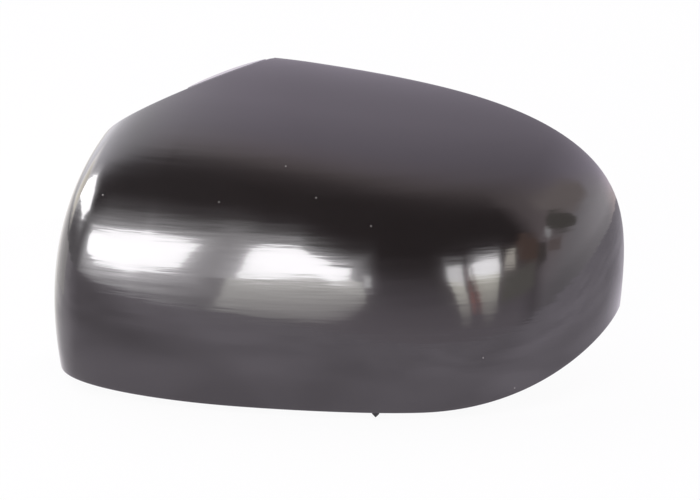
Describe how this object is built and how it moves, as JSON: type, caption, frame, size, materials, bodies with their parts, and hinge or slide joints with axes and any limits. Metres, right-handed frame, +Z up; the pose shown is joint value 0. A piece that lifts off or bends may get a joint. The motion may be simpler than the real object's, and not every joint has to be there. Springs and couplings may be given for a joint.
{
  "type": "wing mirror cover",
  "caption": "Moulded gloss black cover for the front of a car's left-hand wing mirror, with snap hooks, locating posts and stiffening ribs behind its smooth skin.",
  "frame": {"origin": "on the axis of the inboard locating post, in the plane of the rear rim", "axes": "+X to the outboard end, +Y to the rear, where the cover is open and meets the mirror housing, +Z up"},
  "size_m": [0.2228, 0.071, 0.1242],
  "materials": {
    "gloss_black": "gloss"
  },
  "bodies": {
    "root": {"mirror_cover": "gloss_black"}
  },
  "joints": []
}
